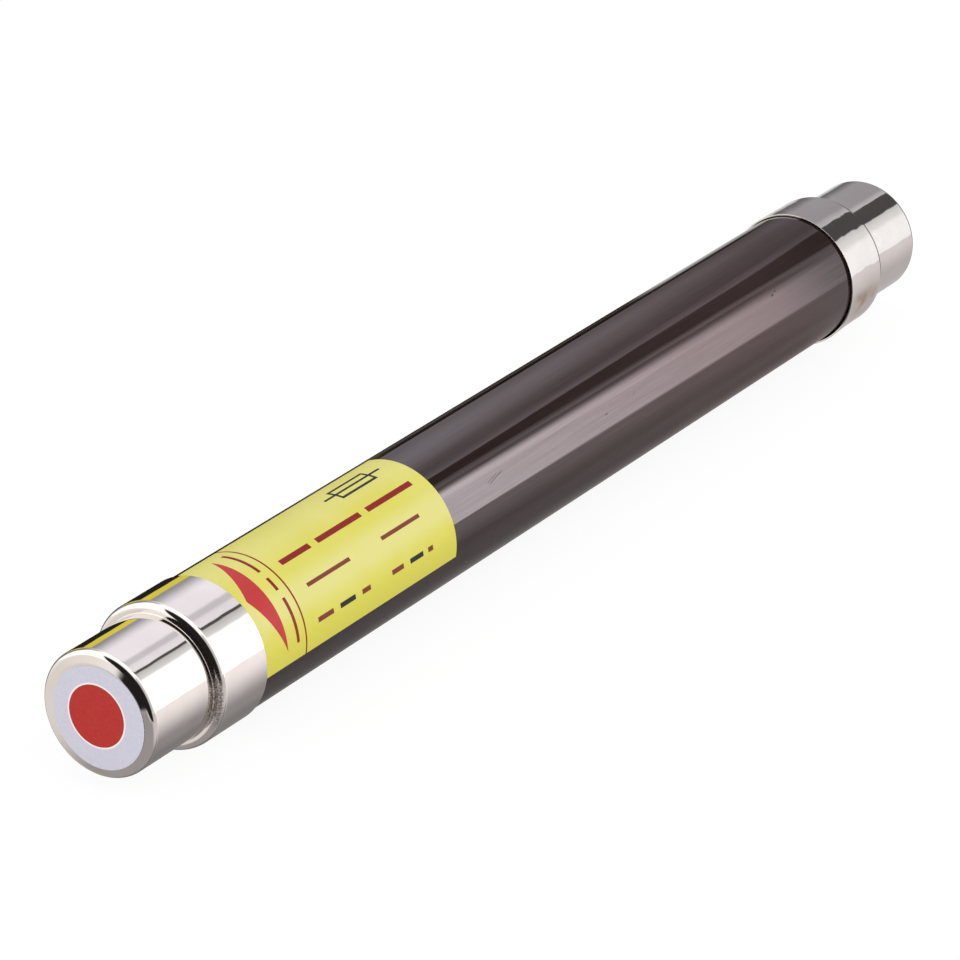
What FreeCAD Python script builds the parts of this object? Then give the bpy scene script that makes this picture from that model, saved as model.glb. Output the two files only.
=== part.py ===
import FreeCAD, Part
import math
import os
import Sketcher

from FreeCAD import Placement, Rotation, Vector

# High voltage cartridge fuse with a striker. The fuse lies along X with its middle at the origin,
# the striker end towards -X and +Z up. Lengths are in millimetres, angles in degrees.

driving_sizes = {
    # Outside of the fuse
    "body_length": 442,
    "contact_length": 33,
    "contact_diameter": 45,
    "cap_wall": 0.5,
    "rim_round": 3.8,
    "foot_round": 0.8,
    "shoulder_round": 2.6,
    "skirt_length": 25,
    "skirt_clearance": 0.2,
    "blind_flare": 0.65,
    "blind_flare_length": 15,
    # Porcelain tube
    "tube_diameter": 51,
    "tube_wall": 5.5,
    "tube_edge_round": 1,
    # Seal and contact plate at each end of the tube
    "gasket_thickness": 1.5,
    "gasket_width": 3.4,
    "plate_sheet": 0.8,
    "plate_rim_gap": 0.15,
    "dish_depth": 5,
    "dish_clearance": 0.3,
    "dish_inside_round": 1,
    # Star core
    "core_radius": 14,
    "hub_radius": 6,
    "rib_thickness": 3.2,
    "core_bore": 3,
    "notch_depth": 1,
    "notch_clearance": 0.3,
    # Fuse elements
    "element_width": 2.8,
    "element_neck": 1.4,
    "element_thickness": 0.2,
    "element_turns": 8,
    "element_lead": 14,
    "element_tab": 4.3,
    "slot_clearance": 0.2,
    "solder_bead_radius": 0.9,
    # Sand
    "sand_clearance": 0.3,
    "sand_end_gap": 1.1,
    "fill_hole_circle": 11,
    "fill_hole_radius": 2.6,
    "plug_flange": 1.4,
    "plug_head": 0.8,
    "plug_clearance": 0.05,
    # Striker
    "striker_diameter": 10,
    "striker_wall": 1,
    "striker_head": 2,
    "guide_clearance": 0.1,
    "collar_step": 1,
    "collar_length": 3,
    "collar_rest_gap": 0.4,
    "stop_gap": 0.1,
    "housing_wall": 1,
    "housing_clearance": 0.1,
    "housing_flange": 12,
    "housing_foot_round": 0.5,
    "rivet_circle": 9.6,
    "rivet_radius": 1,
    "rivet_head_step": 0.8,
    "rivet_head_height": 0.9,
    "rivet_clearance": 0.05,
    "spring_wire": 1,
    "spring_turns": 11,
    "spring_clearance": 0.2,
    "wire_diameter": 0.5,
    "wire_clearance": 0.1,
    "bush_stem_radius": 2,
    "bush_flange_thickness": 1,
    "bush_clearance": 0.05,
    "ferrule_radius": 1.5,
    "ferrule_length": 6,
    # Labels
    "label_thickness": 0.15,
    "label_glue": 0.03,
    "end_label_margin": 0.6,
    "body_label_length": 114,
    "body_label_width": 55,
    "body_label_middle": 37.5,
}

element_count = 3
rib_count = 2 * element_count
rib_angle = 360 / rib_count
rivet_count = 3
spring_steps_per_turn = 16
spring_wire_sides = 6

document = FreeCAD.newDocument("cartridge_fuse")
sizes = document.addObject("Spreadsheet::Sheet", "Sizes")
for row, (name, number) in enumerate(driving_sizes.items(), start=1):
    sizes.set(f"A{row}", name)
    sizes.set(f"B{row}", str(number))
    sizes.setAlias(f"B{row}", name)
document.recompute()


def value(expression):
    """Return the number that an expression on the sheet gives."""
    return float(sizes.evalExpression(expression))


# Places along the axis, measured outwards from the middle of the fuse and alike at both ends
shoulder = "Sizes.body_length / 2"
skirt_edge = f"{shoulder} - Sizes.skirt_length"
end_face = f"{shoulder} + Sizes.contact_length"
cap_inside = f"{end_face} - Sizes.cap_wall"
shoulder_inside = f"{shoulder} - Sizes.cap_wall"
flange_outside = f"{shoulder_inside} - Sizes.gasket_thickness"
tube_end = f"{flange_outside} - Sizes.plate_sheet"
floor_outside = f"{flange_outside} - Sizes.dish_depth"
floor_inside = f"{floor_outside} - Sizes.plate_sheet"

# Radii that several pieces share
contact_radius = "Sizes.contact_diameter / 2"
tube_radius = "Sizes.tube_diameter / 2"
bore_radius = f"{tube_radius} - Sizes.tube_wall"
skirt_inside = f"{tube_radius} + Sizes.skirt_clearance"
skirt_outside = f"{skirt_inside} + Sizes.cap_wall"
shoulder_step = f"({skirt_outside} - {contact_radius})"
shoulder_bend = f"min(Sizes.shoulder_round; 0.7 * {shoulder_step})"
foot_bend = f"min(Sizes.foot_round; 0.25 * {shoulder_step})"
dish_radius = f"{bore_radius} - Sizes.dish_clearance"
notch_floor = "Sizes.core_radius - Sizes.notch_depth"
striker_radius = "Sizes.striker_diameter / 2"
guide_radius = f"{striker_radius} + Sizes.guide_clearance"
collar_radius = f"{striker_radius} + Sizes.collar_step"
housing_bore = f"{collar_radius} + Sizes.housing_clearance"
striker_bore = f"{striker_radius} - Sizes.striker_wall"
rivet_hole = "Sizes.rivet_radius + Sizes.rivet_clearance"
wire_hole = "Sizes.wire_diameter / 2 + Sizes.wire_clearance"
bush_hole = "Sizes.bush_stem_radius + Sizes.bush_clearance"

at_blind_end = Placement()
at_striker_end = Placement(Vector(), Rotation(Vector(0, 0, 1), 180))


def origin_feature(body, role):
    """Return the plane or axis of a body's own origin that has this role."""
    return next(item for item in body.Origin.OriginFeatures if item.Role == role)


def new_body(label, placement):
    body = document.addObject("PartDesign::Body", label)
    body.Label = label
    body.AllowCompound = True
    body.Placement = placement
    return body


def new_sketch(body, name, plane, offset=None):
    """Start a sketch on one of the body's planes, lifted off it by an expression."""
    sketch = body.newObject("Sketcher::SketchObject", name)
    sketch.AttachmentSupport = (origin_feature(body, plane), [""])
    sketch.MapMode = "FlatFace"
    if offset:
        sketch.setExpression("AttachmentOffset.Base.z", offset)
    return sketch


def hold(sketch, direction, geometry, point, expression):
    """Keep a point at a distance from the sketch's origin along x or y."""
    place = value(expression)
    if abs(place) < 1e-9:
        axis = -2 if direction == "DistanceX" else -1
        sketch.addConstraint(Sketcher.Constraint("PointOnObject", geometry, point, axis))
        return
    if place > 0:
        limit = Sketcher.Constraint(direction, -1, 1, geometry, point, place)
        bound = expression
    else:
        limit = Sketcher.Constraint(direction, geometry, point, -1, 1, -place)
        bound = f"-({expression})"
    number = sketch.addConstraint(limit)
    sketch.setExpression(f"Constraints[{number}]", bound)


def hold_slope(sketch, line, point, corner, neighbour):
    """Fix an end of a sloping line in the direction that its neighbour leaves free."""
    if corner[0] == neighbour[0]:
        hold(sketch, "DistanceY", line, point, corner[1])
    else:
        hold(sketch, "DistanceX", line, point, corner[0])


def draw_outline(sketch, corners):
    """Draw a closed outline of upright and level lines with some rounded corners.

    Each corner is an x expression, a y expression and an expression for its round, or None.
    A line may also slope between two sharp corners, with an upright or level line on each side.
    """
    count = len(corners)
    points = [Vector(value(x), value(y), 0) for x, y, _ in corners]
    rounds = [value(radius) if radius else 0 for _, _, radius in corners]
    ahead = []
    for index in range(count):
        direction = points[(index + 1) % count] - points[index]
        ahead.append(direction.normalize())
    lines = []
    for index in range(count):
        following = (index + 1) % count
        start = points[index] + ahead[index] * rounds[index]
        end = points[following] - ahead[index] * rounds[following]
        line = sketch.addGeometry(Part.LineSegment(start, end))
        if corners[index][0] == corners[following][0]:
            sketch.addConstraint(Sketcher.Constraint("Vertical", line))
            hold(sketch, "DistanceX", line, 1, corners[index][0])
        elif corners[index][1] == corners[following][1]:
            sketch.addConstraint(Sketcher.Constraint("Horizontal", line))
            hold(sketch, "DistanceY", line, 1, corners[index][1])
        else:
            after = corners[(index + 2) % count]
            hold_slope(sketch, line, 1, corners[index], corners[index - 1])
            hold_slope(sketch, line, 2, corners[following], after)
        lines.append(line)
    for index in range(count):
        before = lines[index - 1]
        after = lines[index]
        if rounds[index] == 0:
            sketch.addConstraint(Sketcher.Constraint("Coincident", before, 2, after, 1))
            continue
        arrive = ahead[index - 1]
        leave = ahead[index]
        center = points[index] + (leave - arrive) * rounds[index]
        turns_left = arrive.cross(leave).z > 0
        first = -leave if turns_left else arrive
        start_angle = math.atan2(first.y, first.x)
        circle = Part.Circle(center, Vector(0, 0, 1), rounds[index])
        arc = sketch.addGeometry(Part.ArcOfCircle(circle, start_angle, start_angle + math.pi / 2))
        arc_start, arc_end = (1, 2) if turns_left else (2, 1)
        sketch.addConstraint(Sketcher.Constraint("Tangent", before, 2, arc, arc_start))
        sketch.addConstraint(Sketcher.Constraint("Tangent", arc, arc_end, after, 1))
        number = sketch.addConstraint(Sketcher.Constraint("Radius", arc, rounds[index]))
        sketch.setExpression(f"Constraints[{number}]", corners[index][2])


def draw_circle(sketch, y, z, radius):
    """Draw a circle about a point given by two expressions."""
    center = Vector(value(y), value(z), 0)
    circle = sketch.addGeometry(Part.Circle(center, Vector(0, 0, 1), value(radius)))
    hold(sketch, "DistanceX", circle, 3, y)
    hold(sketch, "DistanceY", circle, 3, z)
    number = sketch.addConstraint(Sketcher.Constraint("Radius", circle, value(radius)))
    sketch.setExpression(f"Constraints[{number}]", radius)


def draw_box(sketch, left, right, low, high):
    """Draw a rectangle from four expressions."""
    draw_outline(
        sketch, [(left, low, None), (right, low, None), (right, high, None), (left, high, None)]
    )


def turned(label, placement, corners, off_axis=None):
    """Revolve an outline of distance along the fuse against radius.

    The axis is the fuse's own, or one parallel to it at the off_axis expression.
    """
    body = new_body(label, placement)
    sketch = new_sketch(body, f"{label}_profile", "XY_Plane")
    axis = "H_Axis"
    if off_axis:
        height = value(off_axis)
        line = sketch.addGeometry(Part.LineSegment(Vector(0, height, 0), Vector(1, height, 0)), True)
        sketch.addConstraint(Sketcher.Constraint("Horizontal", line))
        hold(sketch, "DistanceX", line, 1, "0")
        hold(sketch, "DistanceY", line, 1, off_axis)
        number = sketch.addConstraint(Sketcher.Constraint("Distance", line, 1))
        sketch.setDatum(number, 1)
        axis = "Axis0"
    draw_outline(sketch, corners)
    revolution = body.newObject("PartDesign::Revolution", f"{label}_turned")
    revolution.Profile = sketch
    revolution.ReferenceAxis = (sketch, [axis])
    revolution.Angle = 360
    document.recompute()
    return body


def pad(body, sketch, name, length):
    """Raise a sketch of the YZ plane along the fuse."""
    feature = body.newObject("PartDesign::Pad", name)
    feature.Profile = sketch
    feature.setExpression("Length", length)
    document.recompute()
    return feature


def pocket_through(body, sketch, name):
    """Cut a sketch through the body and check that it took material away."""
    volume = body.Shape.Volume
    feature = body.newObject("PartDesign::Pocket", name)
    feature.Profile = sketch
    feature.Type = "ThroughAll"
    feature.Reversed = True
    document.recompute()
    if body.Shape.Volume >= volume:
        raise ValueError(f"{name} cuts nothing")
    return feature


def polar_pattern(body, feature, name, count):
    """Repeat a feature evenly round the fuse's axis."""
    pattern = body.newObject("PartDesign::PolarPattern", name)
    pattern.Originals = [feature]
    pattern.Axis = (origin_feature(body, "X_Axis"), [""])
    pattern.Angle = 360
    pattern.Occurrences = count
    body.Tip = pattern
    document.recompute()
    return pattern


def solid_feature(label, shape):
    """Add a piece whose shape comes from the sheet's numbers."""
    feature = document.addObject("Part::Feature", label)
    feature.Label = label
    feature.Shape = shape
    return feature


# Outside: tube and end caps

def porcelain_tube():
    edge = "Sizes.tube_edge_round"
    length = f"2 * ({tube_end})"
    corners = [
        ("0", bore_radius, edge),
        (length, bore_radius, edge),
        (length, tube_radius, edge),
        ("0", tube_radius, edge),
    ]
    body = turned("porcelain_tube", Placement(), corners)
    body.setExpression("Placement.Base.x", f"-({tube_end})")
    return body


def end_cap(label, placement, hole, flare):
    """Drawn sheet cap: skirt over the tube, shoulder and contact cup with an optional hole.

    The skirt opens by the flare towards its mouth, where it isn't pressed tight on the tube.
    """
    wall = "Sizes.cap_wall"
    cup_inside = f"{contact_radius} - {wall}"
    flare_start = f"{skirt_edge} + Sizes.blind_flare_length"
    inner_skirt = [(skirt_edge, f"{skirt_inside} + {flare}", None)]
    outer_skirt = [(skirt_edge, f"{skirt_outside} + {flare}", None)]
    if value(flare) > 0:
        inner_skirt.append((flare_start, skirt_inside, None))
        outer_skirt.insert(0, (flare_start, skirt_outside, None))
    corners = inner_skirt + [
        (shoulder_inside, skirt_inside, f"{shoulder_bend} - {wall}"),
        (shoulder_inside, cup_inside, f"{foot_bend} + {wall}"),
        (cap_inside, cup_inside, f"Sizes.rim_round - {wall}"),
        (cap_inside, hole, None),
        (end_face, hole, None),
        (end_face, contact_radius, "Sizes.rim_round"),
        (shoulder, contact_radius, foot_bend),
        (shoulder, skirt_outside, shoulder_bend),
    ] + outer_skirt
    return turned(label, placement, corners)


# Inside each end: gasket and contact plate

def gasket(label, placement):
    """Flat seal between plate and shoulder, its rim stepped back from the cap's inside bend."""
    outside = f"{skirt_outside} - {shoulder_bend}"
    corners = [
        (flange_outside, f"{outside} - Sizes.gasket_width", None),
        (flange_outside, outside, None),
        (shoulder_inside, outside, None),
        (shoulder_inside, f"{outside} - Sizes.gasket_width", None),
    ]
    return turned(label, placement, corners)


def contact_plate(label, placement, hole):
    """Drawn copper dish that closes the tube, with three slots for the elements' ends."""
    sheet = "Sizes.plate_sheet"
    rim = f"{tube_radius} - Sizes.plate_rim_gap"
    inside = f"{dish_radius} - {sheet}"
    corners = [
        (floor_inside, hole, None),
        (floor_inside, dish_radius, f"Sizes.dish_inside_round + {sheet}"),
        (tube_end, dish_radius, None),
        (tube_end, rim, None),
        (flange_outside, rim, None),
        (flange_outside, inside, "Sizes.dish_inside_round"),
        (floor_outside, inside, "Sizes.dish_inside_round"),
        (floor_outside, hole, None),
    ]
    body = turned(label, placement, corners)
    sketch = new_sketch(body, f"{label}_slot_sketch", "YZ_Plane")
    half_width = "(Sizes.element_width / 2 + Sizes.slot_clearance)"
    draw_box(
        sketch,
        f"-{half_width}",
        half_width,
        f"{notch_floor} - Sizes.slot_clearance",
        f"{notch_floor} + Sizes.element_thickness + Sizes.slot_clearance",
    )
    slot = pocket_through(body, sketch, f"{label}_slot")
    polar_pattern(body, slot, f"{label}_slots", element_count)
    return body


def round_hole(body, name, circle, radius):
    """Cut a round hole along the fuse, on the body's Y axis."""
    sketch = new_sketch(body, f"{name}_sketch", "YZ_Plane")
    draw_circle(sketch, circle, "0", radius)
    return pocket_through(body, sketch, name)


def striker_end_plate():
    label = "striker_end_contact_plate"
    body = contact_plate(label, at_striker_end, bush_hole)
    hole = round_hole(body, f"{label}_rivet_hole", "Sizes.rivet_circle", rivet_hole)
    polar_pattern(body, hole, f"{label}_rivet_holes", rivet_count)
    return body


def blind_end_plate():
    label = "blind_end_contact_plate"
    body = contact_plate(label, at_blind_end, wire_hole)
    fill_hole = "Sizes.fill_hole_radius + Sizes.plug_clearance"
    round_hole(body, f"{label}_fill_hole", "-Sizes.fill_hole_circle", fill_hole)
    return body


def sand_fill_plug():
    """Headed plug pressed into the filling hole from outside."""
    middle = "Sizes.fill_hole_circle"
    head_radius = f"{middle} + Sizes.fill_hole_radius + Sizes.plug_flange"
    head_outside = f"{floor_outside} + Sizes.plug_head"
    stem_end = f"{floor_inside} - Sizes.plug_head"
    corners = [
        (stem_end, middle, None),
        (head_outside, middle, None),
        (head_outside, head_radius, None),
        (floor_outside, head_radius, None),
        (floor_outside, f"{middle} + Sizes.fill_hole_radius", None),
        (stem_end, f"{middle} + Sizes.fill_hole_radius", None),
    ]
    turn_over = Placement(Vector(), Rotation(Vector(1, 0, 0), 180))
    return turned("sand_fill_plug", turn_over, corners, off_axis=middle)


# Star core and its windings

core_length = f"2 * ({floor_inside})"
winding_span = f"({core_length} - 2 * Sizes.element_lead)"
rib_step = f"({winding_span} / (Sizes.element_turns * {rib_count}))"


def chord_length():
    """Free length of a strip between the edges of two neighbouring ribs, square to the axis."""
    half_angle = math.radians(rib_angle / 2)
    seat = value(notch_floor)
    half_rib = sizes.rib_thickness / 2
    return 2 * (seat * math.sin(half_angle) - half_rib * math.cos(half_angle))


def rib_advance():
    """Half the distance that a strip moves along the core while it crosses one rib."""
    share = sizes.rib_thickness / (sizes.rib_thickness + chord_length())
    return value(rib_step) * share / 2


def notch_row(body, name, first_x, low, high, count, length):
    """Cut one notch and repeat it along the core and round every second rib."""
    half_width = f"(Sizes.element_width / 2 + {rib_advance()} + Sizes.notch_clearance)"
    sketch = new_sketch(body, f"{name}_sketch", "XZ_Plane")
    draw_box(sketch, f"{first_x} - {half_width}", f"{first_x} + {half_width}", low, high)
    volume = body.Shape.Volume
    pocket = body.newObject("PartDesign::Pocket", name)
    pocket.Profile = sketch
    pocket.Midplane = True
    pocket.setExpression("Length", "Sizes.rib_thickness * 2")
    document.recompute()
    if body.Shape.Volume >= volume:
        raise ValueError(f"{name} cuts nothing")
    rows = body.newObject("PartDesign::MultiTransform", f"{name}_rows")
    rows.Originals = [pocket]
    along = body.newObject("PartDesign::LinearPattern", f"{name}_along")
    along.Direction = (origin_feature(body, "X_Axis"), [""])
    along.setExpression("Length", length)
    along.Occurrences = count
    around = body.newObject("PartDesign::PolarPattern", f"{name}_around")
    around.Axis = (origin_feature(body, "X_Axis"), [""])
    around.Angle = 360
    around.Occurrences = element_count
    rows.Transformations = [along, around]
    body.Tip = rows
    document.recompute()
    return rows


def winding_core():
    """Six-ribbed ceramic star, its ribs notched where the strips cross and cut down at the ends."""
    label = "winding_core"
    body = new_body(label, Placement())
    body.setExpression("Placement.Base.x", f"-({floor_inside})")
    hub_sketch = new_sketch(body, "hub_sketch", "YZ_Plane")
    draw_circle(hub_sketch, "0", "0", "Sizes.hub_radius")
    pad(body, hub_sketch, "hub", core_length)
    rib_sketch = new_sketch(body, "rib_sketch", "YZ_Plane")
    half_rib = "Sizes.rib_thickness / 2"
    draw_box(rib_sketch, f"-{half_rib}", half_rib, "0", "Sizes.core_radius")
    rib = pad(body, rib_sketch, "rib", core_length)
    polar_pattern(body, rib, "ribs", rib_count)
    bore_sketch = new_sketch(body, "bore_sketch", "YZ_Plane")
    draw_circle(bore_sketch, "0", "0", "Sizes.core_bore / 2")
    pocket_through(body, bore_sketch, "bore")
    end_land_sketch = new_sketch(body, "end_land_sketch", "XY_Plane")
    end_land = "Sizes.element_lead"
    over = "Sizes.core_radius + Sizes.notch_depth"
    draw_box(end_land_sketch, "0", end_land, notch_floor, over)
    draw_box(end_land_sketch, f"{core_length} - {end_land}", core_length, notch_floor, over)
    volume = body.Shape.Volume
    groove = body.newObject("PartDesign::Groove", "end_lands")
    groove.Profile = end_land_sketch
    groove.ReferenceAxis = (end_land_sketch, ["H_Axis"])
    groove.Angle = 360
    document.recompute()
    if body.Shape.Volume >= volume:
        raise ValueError("end_lands cuts nothing")
    pairs = int(sizes.element_turns) * element_count
    notch_row(
        body, "even_notch", end_land, notch_floor, over, pairs + 1, winding_span
    )
    odd_span = f"{winding_span} - 2 * {rib_step}"
    odd_first = f"{end_land} + {rib_step}"
    notch_row(body, "odd_notch", odd_first, f"-({over})", f"-({notch_floor})", pairs, odd_span)
    return body


def around(angle):
    """Return the outward and the sideways direction at an angle round the fuse from the top."""
    turn = math.radians(angle)
    outward = Vector(0, -math.sin(turn), math.cos(turn))
    sideways = Vector(0, -math.cos(turn), -math.sin(turn))
    return outward, sideways


def strip_section(middle, outward, width):
    """Return the cross-section of a strip, its width along the fuse."""
    half = Vector(width / 2, 0, 0)
    points = [middle - half, middle + half, middle + half + outward, middle - half + outward]
    return Part.makePolygon(points + points[:1])


def element_lead(side, seat):
    """Straight end of an element, through the plate's slot and folded over its outer face."""
    thickness = sizes.element_thickness
    width = sizes.element_width
    outer = value(floor_outside) + thickness
    winding_end = value(winding_span) / 2 - width / 2
    run = Part.makeBox(outer - winding_end, width, thickness, Vector(winding_end, -width / 2, seat))
    tab = Part.makeBox(
        thickness, width, sizes.element_tab, Vector(value(floor_outside), -width / 2, seat)
    )
    lead = run.fuse(tab)
    if side < 0:
        lead.rotate(Vector(), Vector(0, 0, 1), 180)
    return lead


def fuse_element(index):
    """Notched silver strip laid from rib to rib of the core in a long helix."""
    thickness = sizes.element_thickness
    seat = value(notch_floor)
    half_rib = sizes.rib_thickness / 2
    step = value(rib_step)
    advance = rib_advance()
    half_angle = math.radians(rib_angle / 2)
    mitre = math.tan(half_angle / 2)
    chord_height = seat * math.cos(half_angle) + half_rib * math.sin(half_angle)
    first_angle = index * 360 / element_count
    steps = int(sizes.element_turns) * rib_count
    sections = []
    for crossing in range(steps + 1):
        x = -value(winding_span) / 2 + crossing * step
        angle = first_angle + crossing * rib_angle
        outward, sideways = around(angle)
        for side in (-1, 1):
            middle = Vector(x + side * advance, 0, 0) + outward * seat + sideways * side * half_rib
            lift = (outward + sideways * side * mitre) * thickness
            sections.append(strip_section(middle, lift, sizes.element_width))
        if crossing < steps:
            outward, sideways = around(angle + rib_angle / 2)
            middle = Vector(x + step / 2, 0, 0) + outward * chord_height
            sections.append(strip_section(middle, outward * thickness, sizes.element_neck))
    strip = Part.makeLoft(sections, True, True)
    leads = []
    for side in (-1, 1):
        lead = element_lead(side, seat)
        lead.rotate(Vector(), Vector(1, 0, 0), first_angle)
        leads.append(lead)
    return solid_feature(f"fuse_element_{index + 1}", strip.fuse(leads).removeSplitter())


def solder_beads():
    """One bead of low-melting solder on the outer face of each strip, near its middle."""
    half_angle = math.radians(rib_angle / 2)
    half_rib = sizes.rib_thickness / 2
    chord_height = value(notch_floor) * math.cos(half_angle) + half_rib * math.sin(half_angle)
    height = chord_height + sizes.element_thickness
    quarter = chord_length() / 4
    x = rib_advance() + (value(rib_step) / 2 - rib_advance()) / 2
    beads = []
    for index in range(element_count):
        outward, sideways = around(index * 360 / element_count + rib_angle / 2)
        foot = Vector(x, 0, 0) + outward * height - sideways * quarter
        beads.append(Part.makeSphere(sizes.solder_bead_radius, foot, outward, 0, 90, 360))
    return solid_feature("solder_beads", Part.makeCompound(beads))


def quartz_sand():
    """Packed sand: a sleeve round the windings and a column in each valley of the core."""
    body = new_body("quartz_sand", Placement())
    body.setExpression("Placement.Base.x", f"-({floor_inside})")
    sleeve_sketch = new_sketch(body, "sleeve_sketch", "YZ_Plane")
    draw_circle(sleeve_sketch, "0", "0", f"{bore_radius} - Sizes.sand_clearance")
    draw_circle(sleeve_sketch, "0", "0", "Sizes.core_radius + Sizes.sand_clearance")
    pad(body, sleeve_sketch, "sleeve", core_length)
    column_sketch = new_sketch(body, "column_sketch", "YZ_Plane", "Sizes.sand_end_gap")
    half_angle = math.radians(rib_angle / 2)
    flank = sizes.rib_thickness / 2 + sizes.sand_clearance
    low = sizes.hub_radius + sizes.sand_clearance
    high = value(notch_floor) * math.cos(half_angle) - sizes.sand_clearance
    low_half = (low * math.sin(half_angle) - flank) / math.cos(half_angle)
    high_half = (high * math.sin(half_angle) - flank) / math.cos(half_angle)
    points = [
        Vector(low, -low_half, 0),
        Vector(high, -high_half, 0),
        Vector(high, high_half, 0),
        Vector(low, low_half, 0),
    ]
    for index, point in enumerate(points):
        column_sketch.addGeometry(Part.LineSegment(point, points[(index + 1) % len(points)]))
    for index in range(len(points)):
        following = (index + 1) % len(points)
        column_sketch.addConstraint(Sketcher.Constraint("Coincident", index, 2, following, 1))
    column_sketch.addConstraint(Sketcher.Constraint("Block", 0))
    column_sketch.addConstraint(Sketcher.Constraint("Block", 2))
    column = pad(body, column_sketch, "column", f"{core_length} - 2 * Sizes.sand_end_gap")
    polar_pattern(body, column, "columns", rib_count)
    return body


# Striker

lip_inside = f"{cap_inside} - Sizes.housing_wall"
striker_rear = f"{floor_outside} + Sizes.collar_rest_gap"
collar_front = f"{striker_rear} + Sizes.collar_length"
striker_head_inside = f"{end_face} - Sizes.striker_head"
spring_foot = f"{floor_outside} + Sizes.bush_flange_thickness"
striker_travel = f"{lip_inside} - Sizes.stop_gap - ({collar_front})"


def striker_housing():
    """Hat-shaped guide tube, riveted to the plate, its lip close round the striker."""
    label = "striker_housing"
    wall = "Sizes.housing_wall"
    outside = f"{housing_bore} + {wall}"
    corners = [
        (floor_outside, housing_bore, None),
        (lip_inside, housing_bore, None),
        (lip_inside, guide_radius, None),
        (cap_inside, guide_radius, None),
        (cap_inside, outside, None),
        (f"{floor_outside} + {wall}", outside, "Sizes.housing_foot_round"),
        (f"{floor_outside} + {wall}", "Sizes.housing_flange", None),
        (floor_outside, "Sizes.housing_flange", None),
    ]
    body = turned(label, at_striker_end, corners)
    hole = round_hole(body, f"{label}_rivet_hole", "Sizes.rivet_circle", rivet_hole)
    polar_pattern(body, hole, f"{label}_rivet_holes", rivet_count)
    return body


def housing_rivets():
    label = "housing_rivets"
    middle = "Sizes.rivet_circle"
    shank = f"{middle} + Sizes.rivet_radius"
    head = f"{shank} + Sizes.rivet_head_step"
    flange = f"{floor_outside} + Sizes.housing_wall"
    corners = [
        (f"{floor_inside} - Sizes.rivet_head_height", middle, None),
        (f"{flange} + Sizes.rivet_head_height", middle, None),
        (f"{flange} + Sizes.rivet_head_height", head, None),
        (flange, head, None),
        (flange, shank, None),
        (floor_inside, shank, None),
        (floor_inside, head, None),
        (f"{floor_inside} - Sizes.rivet_head_height", head, None),
    ]
    body = turned(label, at_striker_end, corners, off_axis=middle)
    polar_pattern(body, body.Tip, f"{label}_round", rivet_count)
    return body


def striker_pin():
    """Hollow plunger with a collar that stops it against the housing's lip."""
    corners = [
        (striker_rear, striker_bore, None),
        (striker_head_inside, striker_bore, None),
        (striker_head_inside, "0", None),
        (end_face, "0", None),
        (end_face, striker_radius, None),
        (collar_front, striker_radius, None),
        (collar_front, collar_radius, None),
        (striker_rear, collar_radius, None),
    ]
    return turned("striker_pin", at_striker_end, corners)


def striker_spring():
    """Drive spring, compressed between the bush and the inside of the striker's head."""
    wire_radius = sizes.spring_wire / 2
    coil_radius = value(striker_bore) - sizes.spring_clearance - wire_radius
    start = value(spring_foot) + wire_radius
    length = value(striker_head_inside) - wire_radius - start
    turns = int(sizes.spring_turns)
    steps = turns * spring_steps_per_turn
    sections = []
    for step in range(steps + 1):
        share = step / steps
        outward, _ = around(step * 360 / spring_steps_per_turn)
        middle = Vector(-start - share * length, 0, 0) + outward * coil_radius
        points = []
        for side in range(spring_wire_sides):
            turn = 2 * math.pi * side / spring_wire_sides
            along = Vector(math.cos(turn) * wire_radius, 0, 0)
            points.append(middle + along + outward * math.sin(turn) * wire_radius)
        sections.append(Part.makePolygon(points + points[:1]))
    return solid_feature("striker_spring", Part.makeLoft(sections, True, True))


def wire_bush():
    """Insulating bush of the plate's middle hole; the spring stands on its flange."""
    flange = f"{striker_bore} - Sizes.bush_clearance * 2"
    corners = [
        (floor_inside, wire_hole, None),
        (spring_foot, wire_hole, None),
        (spring_foot, flange, None),
        (floor_outside, flange, None),
        (floor_outside, "Sizes.bush_stem_radius", None),
        (floor_inside, "Sizes.bush_stem_radius", None),
    ]
    return turned("wire_bush", at_striker_end, corners)


def striker_wire():
    """Wire in tension from the striker's head, through the core, to the blind end's ferrule."""
    wire = document.addObject("Part::Cylinder", "striker_wire")
    wire.Label = "striker_wire"
    wire.setExpression("Radius", "Sizes.wire_diameter / 2")
    reach = f"({striker_head_inside}) + {floor_outside} + Sizes.ferrule_length"
    wire.setExpression("Height", reach)
    wire.Placement = Placement(Vector(), Rotation(Vector(0, 1, 0), 90))
    wire.setExpression("Placement.Base.x", f"-({striker_head_inside})")
    return wire


def wire_ferrule():
    corners = [
        (floor_outside, "Sizes.wire_diameter / 2", None),
        (f"{floor_outside} + Sizes.ferrule_length", "Sizes.wire_diameter / 2", None),
        (f"{floor_outside} + Sizes.ferrule_length", "Sizes.ferrule_radius", None),
        (floor_outside, "Sizes.ferrule_radius", None),
    ]
    return turned("wire_ferrule", at_blind_end, corners)


# Labels

def end_label():
    """Round label of the striker end, open over the striker."""
    outside = f"{contact_radius} - Sizes.rim_round - Sizes.end_label_margin"
    front = f"{end_face} + Sizes.label_thickness"
    corners = [
        (end_face, guide_radius, None),
        (end_face, outside, None),
        (front, outside, None),
        (front, guide_radius, None),
    ]
    return turned("end_label", at_striker_end, corners)


def end_label_centre():
    """Middle of the round label, which the striker carries away on its head."""
    front = f"{end_face} + Sizes.label_thickness"
    corners = [
        (end_face, "0", None),
        (front, "0", None),
        (front, striker_radius, None),
        (end_face, striker_radius, None),
    ]
    return turned("end_label_centre", at_striker_end, corners)


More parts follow.
